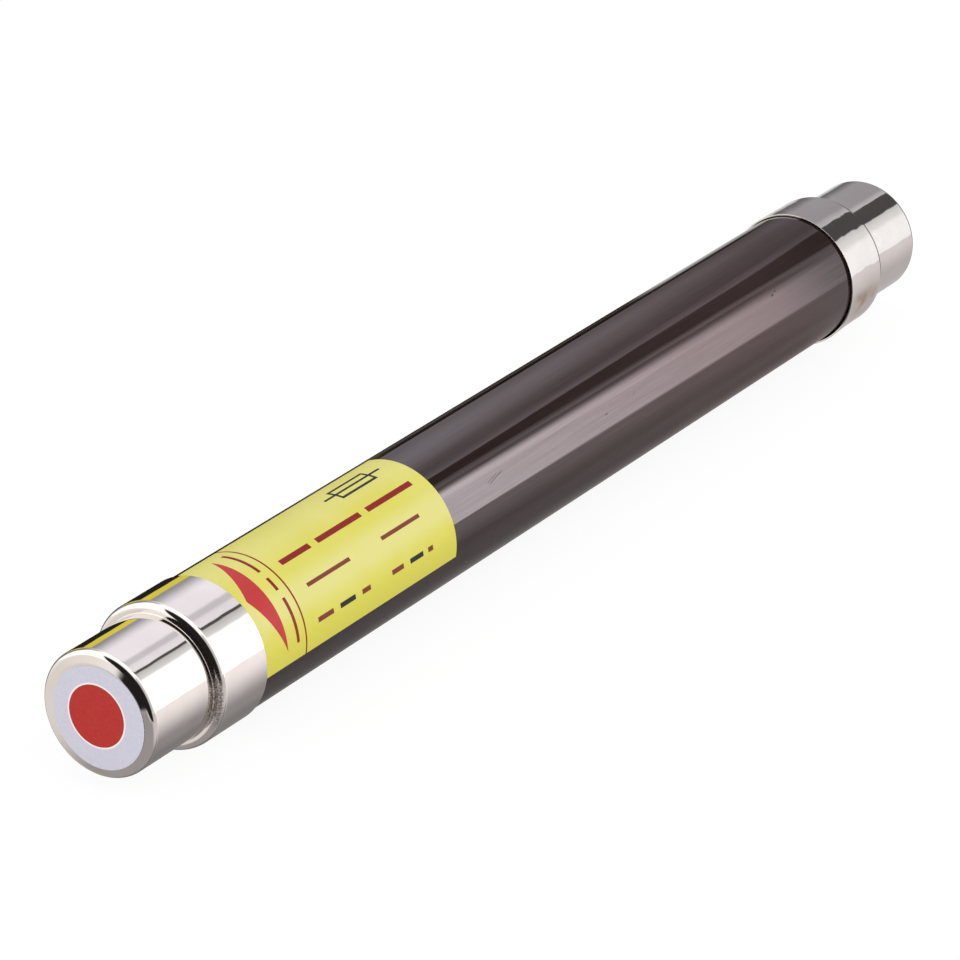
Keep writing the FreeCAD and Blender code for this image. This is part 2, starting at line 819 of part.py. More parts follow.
def body_label():
    """Foil label wrapped part of the way round the tube, next to the striker end's cap."""
    lie_along = Rotation(Vector(0, 1, 0), 90)
    start = f"-({skirt_edge})"
    sheet = document.addObject("Part::Cylinder", "label_sheet")
    glued_radius = f"{tube_radius} + Sizes.label_glue"
    sheet.setExpression("Radius", f"{glued_radius} + Sizes.label_thickness")
    sheet.setExpression("Height", "Sizes.body_label_length")
    label_angle = f"Sizes.body_label_width / ({tube_radius}) * 180 / pi"
    sheet.setExpression("Angle", label_angle)
    first_angle = 180 + sizes.body_label_middle - value(label_angle) / 2
    turn = Rotation(Vector(0, 0, 1), first_angle)
    sheet.Placement = Placement(Vector(), lie_along.multiply(turn))
    sheet.setExpression("Placement.Base.x", start)
    tube = document.addObject("Part::Cylinder", "label_tube")
    tube.setExpression("Radius", glued_radius)
    tube.setExpression("Height", "Sizes.body_label_length")
    tube.Placement = Placement(Vector(), lie_along)
    tube.setExpression("Placement.Base.x", start)
    label = document.addObject("Part::Cut", "body_label")
    label.Label = "body_label"
    label.Base = sheet
    label.Tool = tube
    return label


pieces = [
    porcelain_tube(),
    end_cap("striker_end_cap", at_striker_end, guide_radius, "0"),
    end_cap("blind_end_cap", at_blind_end, "0", "Sizes.blind_flare"),
    gasket("striker_end_gasket", at_striker_end),
    gasket("blind_end_gasket", at_blind_end),
    striker_end_plate(),
    blind_end_plate(),
    sand_fill_plug(),
    winding_core(),
    solder_beads(),
    quartz_sand(),
    striker_housing(),
    housing_rivets(),
    striker_pin(),
    striker_spring(),
    wire_bush(),
    striker_wire(),
    wire_ferrule(),
    end_label(),
    end_label_centre(),
    body_label(),
]
pieces += [fuse_element(index) for index in range(element_count)]
document.recompute()

for item in document.Objects:
    if "Invalid" in item.State or "Error" in item.State:
        raise ValueError(f"{item.Label} did not build: {item.State}")
for piece in pieces:
    if piece.Shape.isNull() or not piece.Shape.isValid():
        raise ValueError(f"{piece.Label} has no valid shape")

print(f"striker travel {value(striker_travel):.2f} mm")
os.makedirs("parts", exist_ok=True)
for piece in pieces:
    piece.Shape.exportStep(f"parts/{piece.Label}.step")
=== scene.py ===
import functools
import math

import bmesh
import bpy
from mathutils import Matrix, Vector


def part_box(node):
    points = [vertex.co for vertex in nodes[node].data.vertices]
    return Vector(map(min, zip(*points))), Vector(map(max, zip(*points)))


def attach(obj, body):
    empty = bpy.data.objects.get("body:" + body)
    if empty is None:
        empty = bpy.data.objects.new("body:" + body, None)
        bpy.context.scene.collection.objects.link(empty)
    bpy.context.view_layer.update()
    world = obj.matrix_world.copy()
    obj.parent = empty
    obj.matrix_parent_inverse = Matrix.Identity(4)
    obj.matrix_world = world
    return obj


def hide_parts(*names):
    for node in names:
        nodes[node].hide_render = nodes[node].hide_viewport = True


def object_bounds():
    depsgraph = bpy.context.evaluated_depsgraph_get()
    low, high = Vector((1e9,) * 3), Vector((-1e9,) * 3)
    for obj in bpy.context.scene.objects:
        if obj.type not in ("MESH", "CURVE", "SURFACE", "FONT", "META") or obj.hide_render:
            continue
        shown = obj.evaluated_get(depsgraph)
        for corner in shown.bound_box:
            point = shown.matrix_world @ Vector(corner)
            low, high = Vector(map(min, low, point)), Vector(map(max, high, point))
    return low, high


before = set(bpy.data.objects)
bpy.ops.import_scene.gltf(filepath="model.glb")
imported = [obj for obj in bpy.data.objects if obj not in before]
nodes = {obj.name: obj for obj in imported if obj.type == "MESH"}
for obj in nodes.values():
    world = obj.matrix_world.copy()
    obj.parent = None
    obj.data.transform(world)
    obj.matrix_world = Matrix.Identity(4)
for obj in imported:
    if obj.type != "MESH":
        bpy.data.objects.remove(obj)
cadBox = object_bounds()
print("frame loaded:", len(nodes), "nodes")

# The fuse lies along X, its striker end towards -X. An angle round it counts from the top (+Z)
# towards the front (-Y). Meshes are in metres, patterns in the materials in millimetres.

mm = 0.001
sharpAngle = math.radians(30)  # a corner steeper than this stays crisp
onSpot = 1e-6                  # points nearer than this are one point


# Helpers for meshes

def newObject(name, mesh, material):
    data = bpy.data.meshes.new(name)
    mesh.to_mesh(data)
    mesh.free()
    data.materials.append(material)
    made = bpy.data.objects.new(name, data)
    bpy.context.scene.collection.objects.link(made)
    return made


def addPiece(name, mesh, body, material, replaced):
    piece = newObject(name, mesh, material)
    shading = piece.modifiers.new("evenShading", "WEIGHTED_NORMAL")
    shading.keep_sharp = True
    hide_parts(*replaced)
    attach(piece, body)


def smoothAllButCorners(mesh):
    for face in mesh.faces:
        face.smooth = True
    for edge in mesh.edges:
        edge.smooth = edge.calc_face_angle(0) < sharpAngle


def ringAt(mesh, x, radius):
    # Edges of the circle that one corner of an outline draws round the axis
    def onRing(vertex):
        away = math.hypot(vertex.co.y, vertex.co.z)
        return abs(vertex.co.x - x) < onSpot and abs(away - radius) < onSpot
    return [edge for edge in mesh.edges if all(onRing(vertex) for vertex in edge.verts)]


def turnedMesh(outline, steps, rounds=None, segments=4):
    # Spins an outline of (x, radius) corners round the X axis in this many steps, then rounds
    # each corner that is listed with a radius
    mesh = bmesh.new()
    corners = [mesh.verts.new((x, 0, radius)) for x, radius in outline]
    for first, second in zip(corners, corners[1:] + corners[:1]):
        if max(first.co.z, second.co.z) > onSpot:
            mesh.edges.new((first, second))
    bmesh.ops.spin(
        mesh, geom=mesh.verts[:] + mesh.edges[:], cent=(0, 0, 0), axis=(1, 0, 0),
        angle=math.tau, steps=steps, use_merge=True,
    )
    bmesh.ops.remove_doubles(mesh, verts=mesh.verts[:], dist=onSpot)
    bmesh.ops.recalc_face_normals(mesh, faces=mesh.faces[:])
    for corner, radius in (rounds or {}).items():
        bmesh.ops.bevel(
            mesh, geom=ringAt(mesh, *outline[corner]), offset=radius, offset_type="OFFSET",
            segments=segments, profile=0.5, affect="EDGES", material=-1,
        )
    smoothAllButCorners(mesh)
    return mesh


# Helpers for materials

noiseSpread = 0.2  # most of a noise texture's values are this near to its middle, 0.5


def linear(hexColour):
    channels = [int(hexColour[start:start + 2], 16) / 255 for start in (1, 3, 5)]
    curve = [c / 12.92 if c <= 0.04045 else ((c + 0.055) / 1.055) ** 2.4 for c in channels]
    return (*curve, 1)


def addNode(tree, kind, inputs=None, output=0, **settings):
    # Adds a node and returns one of its outputs. An input given as a socket is linked, and any
    # other is set.
    node = tree.nodes.new(kind)
    for name, setting in settings.items():
        setattr(node, name, setting)
    for name, source in (inputs or {}).items():
        if isinstance(source, bpy.types.NodeSocket):
            tree.links.new(source, node.inputs[name])
        else:
            node.inputs[name].default_value = source
    return node.outputs[output]


def newMaterial(name):
    material = bpy.data.materials.new(name)
    material.use_nodes = True
    tree = material.node_tree
    add = functools.partial(addNode, tree)
    shader = tree.nodes["Principled BSDF"]
    place = add("ShaderNodeTexCoord", output="Object")
    return material, tree, add, shader, place


def mottled(add, place, size, low=0, high=1, detail=3, stretch=1, sharpness=1):
    # Uneven values from low to high, in lumps about size mm across and stretch times as long
    across = 1 / (size * mm)
    lumps = add("ShaderNodeMapping", {"Vector": place, "Scale": (across / stretch, across, across)})
    texture = add("ShaderNodeTexNoise", {"Vector": lumps, "Scale": 1, "Detail": detail})
    reach = noiseSpread / sharpness
    return add("ShaderNodeMapRange", {
        "Value": texture, "From Min": 0.5 - reach, "From Max": 0.5 + reach, "To Min": low,
        "To Max": high,
    })


def allPassed(add, *edges):
    # 1 where every (source, start, full) edge is passed and 0 before any, soft between
    share = 1.0
    for source, start, full in edges:
        passed = add(
            "ShaderNodeMapRange", {"Value": source, "From Min": start, "From Max": full},
            interpolation_type="SMOOTHSTEP",
        )
        share = add("ShaderNodeMath", {0: share, 1: passed}, operation="MULTIPLY")
    return share


def placeOnFuse(add, place):
    # Millimetres along the fuse, degrees round it and millimetres from its axis
    x, y, z = add("ShaderNodeSeparateXYZ", {"Vector": place}).node.outputs
    along = add("ShaderNodeMath", {0: x, 1: mm}, operation="DIVIDE")
    forwards = add("ShaderNodeMath", {0: y, 1: -1}, operation="MULTIPLY")
    turn = add("ShaderNodeMath", {0: forwards, 1: z}, operation="ARCTAN2")
    angle = add("ShaderNodeMath", {0: turn}, operation="DEGREES")
    offAxis = add("ShaderNodeVectorMath", {0: place, 1: (0, 1, 1)}, operation="MULTIPLY")
    metres = add("ShaderNodeVectorMath", {0: offAxis}, output="Value", operation="LENGTH")
    away = add("ShaderNodeMath", {0: metres, 1: mm}, operation="DIVIDE")
    return along, angle, away


# Glazed porcelain tube

tube = {
    "wall": 5.5 * mm,
    "edgeRound": 1 * mm,
    "steps": 192,
    "dark": "#231917",
    "brown": "#2E211F",
    "pinholeShade": "#120C0C",
    "mirrorTint": (1, 0.82, 0.86, 1),
    "roughness": (0.02, 0.06),
    "specular": (0.44, 0.56),
    "streakWidth": 0.55,
    "streakStretch": 60,
    "streakDepth": 0.0015,
    "cloudSize": 14,
    "cloudStretch": 3,
    "cloudShare": 0.4,
    "rollSize": 9,
    "rollStretch": 6,
    "rollDepth": 0.003,
    "pinholeSpacing": 45,
    "pinholeRadius": 0.5,
    # Each scuff is its middle along the fuse in mm and round it in degrees, its length in mm, its
    # width in degrees, how many degrees it turns in each mm and how rough it is
    "scuffs": [
        (40.5, 61, 4, 1, -1.1, 0.16),
        (21, 63, 2.5, 2, 0, 0.22),
        (-51, 58.5, 12, 0.9, -0.45, 0.28),
        (-53, 57.5, 9, 0.8, -0.45, 0.2),
        (144, 53, 2, 3, 0, 0.4),
        (146.5, 51, 2, 2, 0, 0.4),
    ],
}


def brownGlaze():
    # Fired glaze on porcelain: a dark brown glass skin, glossy, faintly streaked along the tube
    material, tree, add, shader, place = newMaterial("Brown porcelain glaze")
    look = tube
    streaks = mottled(add, place, look["streakWidth"], detail=4, stretch=look["streakStretch"])
    clouds = mottled(add, place, look["cloudSize"], detail=2, stretch=look["cloudStretch"])
    shade = add("ShaderNodeMix", {"Factor": look["cloudShare"], "A": streaks, "B": clouds})
    colour = add(
        "ShaderNodeMix", {0: shade, 6: linear(look["dark"]), 7: linear(look["brown"])}, 2,
        data_type="RGBA",
    )
    low, high = look["roughness"]
    roughness = add("ShaderNodeMapRange", {"Value": streaks, "To Min": low, "To Max": high})
    # A few scuffs from handling, which blur what the glaze mirrors and so look darker
    along, angle, _ = placeOnFuse(add, place)
    for middle, turn, length, width, slope, rough in look["scuffs"]:
        fromMiddle = add("ShaderNodeMath", {0: along, 1: middle}, operation="SUBTRACT")
        offMiddle = add("ShaderNodeMath", {0: fromMiddle}, operation="ABSOLUTE")
        fromTurn = add("ShaderNodeMath", {0: angle, 1: turn}, operation="SUBTRACT")
        skewed = add(
            "ShaderNodeMath", {0: fromMiddle, 1: -slope, 2: fromTurn}, operation="MULTIPLY_ADD"
        )
        offTurn = add("ShaderNodeMath", {0: skewed}, operation="ABSOLUTE")
        scuffed = allPassed(
            add, (offMiddle, length / 2, length / 4), (offTurn, width / 2, width / 5)
        )
        roughness = add(
            "ShaderNodeMath", {0: scuffed, 1: rough, 2: roughness}, operation="MULTIPLY_ADD"
        )
    # A few pinholes where the glaze bubbled in the kiln
    # Their dark dots are painted shade in the pits
    spacing = look["pinholeSpacing"]
    cells = add("ShaderNodeMapping", {"Vector": place, "Scale": (1 / (spacing * mm),) * 3})
    fromPinhole = add("ShaderNodeTexVoronoi", {"Vector": cells, "Scale": 1}, "Distance")
    edge = look["pinholeRadius"] / spacing
    pinholeShade = allPassed(add, (fromPinhole, edge * 1.2, edge * 0.8))
    colour = add(
        "ShaderNodeMix", {0: pinholeShade, 6: colour, 7: linear(look["pinholeShade"])}, 2, data_type="RGBA"
    )
    tree.links.new(colour, shader.inputs["Base Color"])
    tree.links.new(roughness, shader.inputs["Roughness"])
    low, high = look["specular"]
    specular = add("ShaderNodeMapRange", {"Value": streaks, "To Min": low, "To Max": high})
    tree.links.new(specular, shader.inputs["Specular IOR Level"])
    rolling = mottled(add, place, look["rollSize"], detail=1, stretch=look["rollStretch"])
    rolled = add(
        "ShaderNodeBump", {"Height": rolling, "Distance": look["rollDepth"] * mm, "Strength": 1}
    )
    streaked = add("ShaderNodeBump", {
        "Height": streaks, "Distance": look["streakDepth"] * mm, "Strength": 1, "Normal": rolled,
    })
    tree.links.new(streaked, shader.inputs["Normal"])
    shader.inputs["IOR"].default_value = 1.5
    shader.inputs["Specular Tint"].default_value = look["mirrorTint"]
    return material


def porcelainTube():
    low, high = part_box("porcelain_tube")
    outside = high.y
    bore = outside - tube["wall"]
    outline = [(low.x, bore), (high.x, bore), (high.x, outside), (low.x, outside)]
    rounds = {corner: tube["edgeRound"] for corner in range(4)}
    mesh = turnedMesh(outline, tube["steps"], rounds)
    addPiece("porcelainTube", mesh, "fuse_body", brownGlaze(), ["porcelain_tube"])


porcelainTube()
print("tube made")


# End caps

caps = {
    "wall": 0.5 * mm,
    "contactRadius": 22.5 * mm,
    "contactLength": 33 * mm,
    "skirtRadius": 26.2 * mm,
    "crownRadius": 17.9 * mm,
    "crownDrop": 0.9 * mm,
    "crownRound": 0.5 * mm,
    "rimRound": 1.9 * mm,
    "shoulderRound": 2.6 * mm,
    "footRound": 0.4 * mm,
    "mouthRound": 0.15 * mm,
    "holeRadius": 5.1 * mm,
    "flare": 0.4 * mm,
    "droop": 0.25 * mm,
    "flareLength": 15 * mm,
    "flareRound": 3.5 * mm,
    "steps": 192,
    "roundSegments": 12,
    # The finish is in mm along the fuse and off its axis and in degrees from its top. Dust, stain
    # and skirt have pairs that say where each starts and where it is full.
    "metal": "#DFDAD6",
    "worn": "#CBC4BD",
    "wornSize": 18,
    "wornMost": 0.5,
    "roughness": (0.03, 0.06),
    "roughnessSize": 1.6,
    "dust": "#9C9189",
    "dustSize": 0.7,
    "dustRoughness": 0.3,
    "dustOffShoulder": (2.0, 0.4),
    "dustTurnFrom": (60, 78),
    "dustTurnTo": (128, 108),
    "stain": "#B39B7C",
    "stainSize": 8,
    "stainFrom": (-25, -18),
    "stainTo": (-3, -9),
    "stainTurnFrom": (90, 102),
    "waveSize": 9,
    "waveDepth": 0.014,
    "blindWaveDepth": 0.002,
    "knockSize": 6,
    "strikerEndLean": 0.003,
    "blindEndLean": 0.006,
    "blindSkirtLean": 0.012,
    "skirtFrom": (24, 25.5),
}


def knockedNormal(add, place, along, away):
    # Rolling and knocks leave small flats that lean round the fuse, more on the blind end's skirt
    look = caps
    normal = add("ShaderNodeNewGeometry", output="Normal")
    sideways = add("ShaderNodeVectorMath", {0: (1, 0, 0), 1: normal}, operation="CROSS_PRODUCT")
    knocks = mottled(add, place, look["knockSize"], -1, 1, detail=1)
    blindEnd = add("ShaderNodeMapRange", {
        "Value": along, "To Min": look["strikerEndLean"], "To Max": look["blindEndLean"],
    })
    blindSkirt = allPassed(add, (along, 0, 1), (away, *look["skirtFrom"]))
    lean = add(
        "ShaderNodeMath", {0: blindSkirt, 1: look["blindSkirtLean"], 2: blindEnd},
        operation="MULTIPLY_ADD",
    )
    lean = add("ShaderNodeMath", {0: knocks, 1: lean}, operation="MULTIPLY")
    offset = add("ShaderNodeVectorMath", {0: sideways, "Scale": lean}, operation="SCALE")
    leaning = add("ShaderNodeVectorMath", {0: normal, 1: offset}, operation="ADD")
    return add("ShaderNodeVectorMath", {0: leaning}, operation="NORMALIZE")


def nickelPlate():
    # Bright nickel plate on drawn copper: near mirror, slightly warm, waved by the drawing tool,
    # duller where hands and clips rub it, dusty in the crease at the shoulder's foot, and stained
    # under the blind end
    material, tree, add, shader, place = newMaterial("Nickel plate")
    look = caps
    along, angle, away = placeOnFuse(add, place)
    shoulder = (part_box("blind_end_cap")[1].x - look["contactLength"]) / mm
    fromMiddle = add("ShaderNodeMath", {0: along}, operation="ABSOLUTE")
    toShoulder = add("ShaderNodeMath", {0: fromMiddle, 1: shoulder}, operation="SUBTRACT")
    offShoulder = add("ShaderNodeMath", {0: toShoulder}, operation="ABSOLUTE")
    turn = add("ShaderNodeMath", {0: angle}, operation="ABSOLUTE")
    specks = mottled(add, place, look["dustSize"], 0.1, 1, detail=3, sharpness=2)
    crease = allPassed(
        add, (offShoulder, *look["dustOffShoulder"]), (turn, *look["dustTurnFrom"]),
        (turn, *look["dustTurnTo"]),
    )
    dust = add("ShaderNodeMath", {0: crease, 1: specks}, operation="MULTIPLY")
    blotches = mottled(add, place, look["stainSize"], 0.2, 1, detail=4, sharpness=1.5)
    under = allPassed(
        add, (toShoulder, *look["stainFrom"]), (toShoulder, *look["stainTo"]),
        (angle, *look["stainTurnFrom"]), (along, 0, 1),
    )
    stain = add("ShaderNodeMath", {0: under, 1: blotches}, operation="MULTIPLY")
    colour = linear(look["metal"])
    layers = (
        (mottled(add, place, look["wornSize"], 0, look["wornMost"]), "worn"),
        (stain, "stain"),
        (dust, "dust"),
    )
    for share, tone in layers:
        colour = add(
            "ShaderNodeMix", {0: share, 6: colour, 7: linear(look[tone])}, 2, data_type="RGBA"
        )
    polish = mottled(add, place, look["roughnessSize"], *look["roughness"], detail=4)
    roughness = add(
        "ShaderNodeMath", {0: dust, 1: look["dustRoughness"], 2: polish},
        operation="MULTIPLY_ADD",
    )
    shader.inputs["Metallic"].default_value = 1
    tree.links.new(colour, shader.inputs["Base Color"])
    tree.links.new(roughness, shader.inputs["Roughness"])
    waves = mottled(add, place, look["waveSize"], detail=0)
    depth = add("ShaderNodeMapRange", {
        "Value": along, "To Min": look["waveDepth"] * mm, "To Max": look["blindWaveDepth"] * mm,
    })
    waved = add("ShaderNodeBump", {
        "Height": waves, "Distance": depth, "Strength": 1,
        "Normal": knockedNormal(add, place, along, away),
    })
    tree.links.new(waved, shader.inputs["Normal"])
    return material


def endCap(name, node, side, hole, flare):
    # side is -1 at the striker end and 1 at the blind end, whose skirt opens towards its mouth
    low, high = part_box(node)
    sizes = caps
    mouth, end = sorted((abs(low.x), abs(high.x)))
    outside = sizes["skirtRadius"]
    wall = sizes["wall"]
    flareStart = mouth + sizes["flareLength"]
    shoulder = end - sizes["contactLength"]
    contact = sizes["contactRadius"]
    stations = [
        (mouth, outside + flare / 2 - wall),
        (flareStart, outside - wall),
        (shoulder - wall, outside - wall),
        (shoulder - wall, contact - wall),
        (end - sizes["crownDrop"] - wall, contact - wall),
        (end - wall, sizes["crownRadius"]),
        (end - wall, hole),
        (end, hole),
        (end, sizes["crownRadius"]),
        (end - sizes["crownDrop"], contact),
        (shoulder, contact),
        (shoulder, outside),
        (flareStart, outside),
        (mouth, outside + flare),
    ]
    outline = [(side * x, radius) for x, radius in stations]
    rounds = {
        0: sizes["mouthRound"],
        2: sizes["shoulderRound"] - wall,
        3: sizes["footRound"] + wall,
        4: sizes["rimRound"] - wall,
        8: sizes["crownRound"],
        9: sizes["rimRound"],
        10: sizes["footRound"],
        11: sizes["shoulderRound"],
        13: sizes["mouthRound"],
    }
    if flare:
        rounds[12] = sizes["flareRound"]
    mesh = turnedMesh(outline, sizes["steps"], rounds, sizes["roundSegments"])
    if flare:
        # The flared mouth was pressed on a little low, which leaves its gap wider underneath
        edge = [vertex for vertex in mesh.verts if abs(vertex.co.x) < mouth + sizes["mouthRound"]]
        bmesh.ops.translate(mesh, verts=edge, vec=(0, 0, -sizes["droop"]))
    addPiece(name, mesh, "fuse_body", nickel, [node])


nickel = nickelPlate()
endCap("strikerEndCap", "striker_end_cap", -1, caps["holeRadius"], 0)
endCap("blindEndCap", "blind_end_cap", 1, 0, caps["flare"])
print("end caps made")


# Rating label round the tube. Plain bars stand where a maker would print words.

ratingLabel = {
    "firstAngle": -24.3,
    "lastAngle": 99.3,
    "thickness": 0.15 * mm,
    "glue": 0.03 * mm,
    "steps": 96,
    "yellow": "#E0DA70",
    "deepYellow": "#DAD353",
    "sheenYellow": "#E3DD92",
    "darkRed": "#8A1F1A",
    "brownRed": "#7A3420",
    "black": "#1A1A1C",
    "arrowRed": "#C0383A",
    "cloudSize": 20,
    "cloudMost": 0.8,
    # Painted shade: the yellow is drawn deeper below these angles round the tube
    "shadeBelowFrom": (66, 86),
    "roughness": (0.4, 0.5),
    "roughnessSize": 5,
    "specular": 0.22,
    "creaseSize": 7,
    "creaseDepth": 0.012,
    # Painted sheen: paler soft bands along the top and in front stand in for mirrored light
    "topSheen": 0.4,
    "sheenTop": (26, 8),
    "frontSheen": 0.7,
    "sheenMiddle": 54,
    "sheenReach": (20, 5),
    # Each bar is its ends along the fuse in mm, its ends round it in degrees and its ink
    "bars": [
        (-173.1, -172.3, -30, 110, "darkRed"),
        (-178.0, -176.5, -11, 24, "darkRed"),
        (-178.0, -176.5, 31, 43, "darkRed"),
        (-178.0, -176.5, 50, 86, "darkRed"),
        (-167, -150, 24, 29, "darkRed"),
        (-146, -120, 24, 29, "darkRed"),
        (-116, -89, 24, 29, "darkRed"),
        (-164, -139, 50, 53.2, "brownRed"),
        (-120, -97, 50, 53.2, "brownRed"),
        (-165, -156, 77, 81, "brownRed"),
        (-152, -143, 77, 81, "black"),
        (-139, -134, 77, 81, "brownRed"),
        (-121, -114, 77, 81, "brownRed"),
        (-110, -102, 77, 81, "black"),
        (-99, -96, 77, 81, "brownRed"),
    ],
    # The usual circuit symbol of a fuse, a box with its wire straight through it
    "symbol": [
        (-123, -90, -3.2, -0.8, "black"),
        (-117, -96, -10.4, -7.8, "black"),
        (-117, -96, 3.8, 6.4, "black"),
        (-117, -115.8, -10.4, 6.4, "black"),
        (-97.2, -96, -10.4, 6.4, "black"),
    ],
    "arrow": {"tip": -192.7, "base": -183.3, "middle": 38.5, "halfWidth": 50},
}


def printedBar(add, along, angle, bar):
    startX, endX, startAngle, endAngle, _ = bar
    inside = 1.0
    for source, start, end in ((along, startX, endX), (angle, startAngle, endAngle)):
        near = add(
            "ShaderNodeMath", {0: source, 1: (start + end) / 2, 2: (end - start) / 2},
            operation="COMPARE",
        )
        inside = add("ShaderNodeMath", {0: inside, 1: near}, operation="MULTIPLY")
    return inside


def printedArrow(add, along, angle):
    # A wide triangle that points to the striker end
    arrow = ratingLabel["arrow"]
    slope = arrow["halfWidth"] / (arrow["base"] - arrow["tip"])
    fromTip = add("ShaderNodeMath", {0: along, 1: arrow["tip"]}, operation="SUBTRACT")
    halfWidth = add("ShaderNodeMath", {0: fromTip, 1: slope}, operation="MULTIPLY")
    fromMiddle = add("ShaderNodeMath", {0: angle, 1: arrow["middle"]}, operation="SUBTRACT")
    offMiddle = add("ShaderNodeMath", {0: fromMiddle}, operation="ABSOLUTE")
    inside = add("ShaderNodeMath", {0: offMiddle, 1: halfWidth}, operation="LESS_THAN")
    beforeBase = add("ShaderNodeMath", {0: along, 1: arrow["base"]}, operation="LESS_THAN")
    return add("ShaderNodeMath", {0: inside, 1: beforeBase}, operation="MULTIPLY")


def yellowFilm():
    # Self-adhesive plastic film, yellow, satin, printed in dark inks, a little uneven on the tube
    material, tree, add, shader, place = newMaterial("Yellow printed film")
    look = ratingLabel
    along, angle, _ = placeOnFuse(add, place)
    clouds = mottled(add, place, look["cloudSize"], 0, look["cloudMost"], detail=2)
    # Painted shade: deeper yellow along the lower side, besides the random clouds
    below = allPassed(add, (angle, *look["shadeBelowFrom"]))
    deep = add("ShaderNodeMath", {0: clouds, 1: below}, operation="MAXIMUM")
    colour = add(
        "ShaderNodeMix", {0: deep, 6: linear(look["yellow"]), 7: linear(look["deepYellow"])}, 2,
        data_type="RGBA",
    )
    # Painted sheen: paler yellow along the top and in front, where the film mirrors light
    fromMiddle = add("ShaderNodeMath", {0: angle, 1: look["sheenMiddle"]}, operation="SUBTRACT")
    offMiddle = add("ShaderNodeMath", {0: fromMiddle}, operation="ABSOLUTE")
    inFront = allPassed(add, (offMiddle, *look["sheenReach"]))
    onTop = allPassed(add, (angle, *look["sheenTop"]))
    paintedSheen = add("ShaderNodeMath", {0: onTop, 1: look["topSheen"]}, operation="MULTIPLY")
    paintedSheen = add(
        "ShaderNodeMath", {0: inFront, 1: look["frontSheen"], 2: paintedSheen}, operation="MULTIPLY_ADD"
    )
    colour = add(
        "ShaderNodeMix", {0: paintedSheen, 6: colour, 7: linear(look["sheenYellow"])}, 2, data_type="RGBA"
    )
    printed = [(printedArrow(add, along, angle), "arrowRed")]
    for bar in look["bars"] + look["symbol"]:
        printed.append((printedBar(add, along, angle, bar), bar[4]))
    for inside, ink in printed:
        colour = add(
            "ShaderNodeMix", {0: inside, 6: colour, 7: linear(look[ink])}, 2, data_type="RGBA"
        )
    tree.links.new(colour, shader.inputs["Base Color"])
    roughness = mottled(add, place, look["roughnessSize"], *look["roughness"])
    tree.links.new(roughness, shader.inputs["Roughness"])
    shader.inputs["IOR"].default_value = 1.49
    shader.inputs["Specular IOR Level"].default_value = look["specular"]
    creases = mottled(add, place, look["creaseSize"], detail=2)
    creased = add(
        "ShaderNodeBump", {"Height": creases, "Distance": look["creaseDepth"] * mm, "Strength": 1}
    )
    tree.links.new(creased, shader.inputs["Normal"])
    return material


def bodyLabel():
    low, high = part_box("body_label")
    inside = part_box("porcelain_tube")[1].y + ratingLabel["glue"]
    outside = inside + ratingLabel["thickness"]
    mesh = bmesh.new()
    bmesh.ops.create_grid(mesh, x_segments=1, y_segments=1, size=0.5)
    for vertex in mesh.verts:
        x = low.x if vertex.co.x < 0 else high.x
        radius = inside if vertex.co.y < 0 else outside
        turn = math.radians(ratingLabel["firstAngle"])
        vertex.co = (x, -radius * math.sin(turn), radius * math.cos(turn))
    swing = math.radians(ratingLabel["lastAngle"] - ratingLabel["firstAngle"])
    bmesh.ops.spin(
        mesh, geom=mesh.verts[:] + mesh.edges[:] + mesh.faces[:], cent=(0, 0, 0),
        axis=(1, 0, 0), angle=swing, steps=ratingLabel["steps"],
    )
    bmesh.ops.recalc_face_normals(mesh, faces=mesh.faces[:])
    smoothAllButCorners(mesh)
    addPiece("bodyLabel", mesh, "fuse_body", yellowFilm(), ["body_label"])


bodyLabel()
print("rating label made")


# Round label over the striker: a pale ring with a red middle, which the striker punches out

strikerLabel = {
    "paper": "#DCDAE6",
    "shadedPaper": "#D6D4E2",
    "keyline": "#FBFBFC",
    "red": "#C4352E",
    "shadedRed": "#BC302B",
    "redRadius": 10.95,
    "keylineWidth": 0.6,
    "roughness": (0.5, 0.6),
    "specular": 0.25,
    "grainSize": 1.2,
    "grainDepth": 0.0016,
    "punchRadius": 5.05 * mm,
    "slit": 0.01 * mm,
    "offCentre": (0, -0.78 * mm, -0.49 * mm),
    "steps": 128,
}


def labelPaper():
    # Printed plastic film, matt: lilac white with a red disc inside a fine white line
    material, tree, add, shader, place = newMaterial("Matt printed label")
    look = strikerLabel
    _, _, away = placeOnFuse(add, place)
    grain = mottled(add, place, look["grainSize"])
    paper = add(
        "ShaderNodeMix", {0: grain, 6: linear(look["paper"]), 7: linear(look["shadedPaper"])}, 2,
        data_type="RGBA",
    )
    red = add(
        "ShaderNodeMix", {0: grain, 6: linear(look["red"]), 7: linear(look["shadedRed"])}, 2,
        data_type="RGBA",
    )
    rings = (
        (look["redRadius"], linear(look["keyline"])),
        (look["redRadius"] + look["keylineWidth"], paper),
    )
    colour = red
    for radius, tone in rings:
        beyond = add("ShaderNodeMath", {0: away, 1: radius}, operation="GREATER_THAN")
        colour = add("ShaderNodeMix", {0: beyond, 6: colour, 7: tone}, 2, data_type="RGBA")
    tree.links.new(colour, shader.inputs["Base Color"])
    low, high = look["roughness"]
    roughness = add("ShaderNodeMapRange", {"Value": grain, "To Min": low, "To Max": high})
    tree.links.new(roughness, shader.inputs["Roughness"])
    shader.inputs["IOR"].default_value = 1.46
    shader.inputs["Specular IOR Level"].default_value = look["specular"]
    grained = add(
        "ShaderNodeBump", {"Height": grain, "Distance": look["grainDepth"] * mm, "Strength": 1}
    )
    tree.links.new(grained, shader.inputs["Normal"])
    return material


